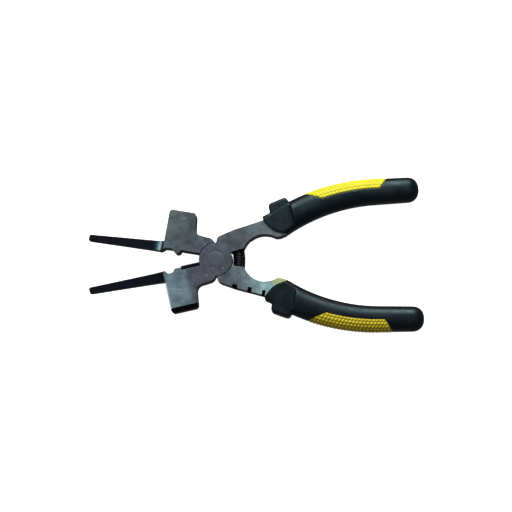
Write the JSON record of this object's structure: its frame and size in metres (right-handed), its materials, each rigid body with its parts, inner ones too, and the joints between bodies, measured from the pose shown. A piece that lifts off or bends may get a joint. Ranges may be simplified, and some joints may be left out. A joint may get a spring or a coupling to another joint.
{
  "type": "welding pliers",
  "caption": "Long-jawed welding pliers with square hammer blocks, a side cutter, gripping hollows, a sprung lap joint and two-colour grips.",
  "frame": {"origin": "on the pivot axis, at the flat back face of the joint", "axes": "+X along the pliers from the jaws towards the handles, +Y across the jaws towards the back lever's jaw, +Z from the back face to the front face"},
  "size_m": [0.2073, 0.0968, 0.017],
  "materials": {
    "lever_steel": "satin ground flat faces, black oxide on the sides, bevels and long jaws",
    "rivet_steel": "ground flush with the joint faces",
    "spring_steel": "black oxide",
    "grip_yellow": "beaded grip texture on the pad",
    "grip_black": "soft moulded, semi-gloss"
  },
  "bodies": {
    "front_half": {"front_lever": "lever_steel", "pivot_rivet": "rivet_steel", "return_spring": "spring_steel", "upper_grip_core": "grip_yellow", "upper_grip_sleeve": "grip_black"},
    "back_half": {"back_lever": "lever_steel", "lower_grip_core": "grip_yellow", "lower_grip_sleeve": "grip_black"}
  },
  "joints": [
    {"name": "pivot", "type": "hinge", "parent": "front_half", "child": "back_half", "pos_m": [0, 0, 0.005], "axis": [0, 0, 1], "range_deg": [-3, 20.9], "stiffness_Nm_per_rad": 0.8, "deforming": ["return_spring"]}
  ]
}
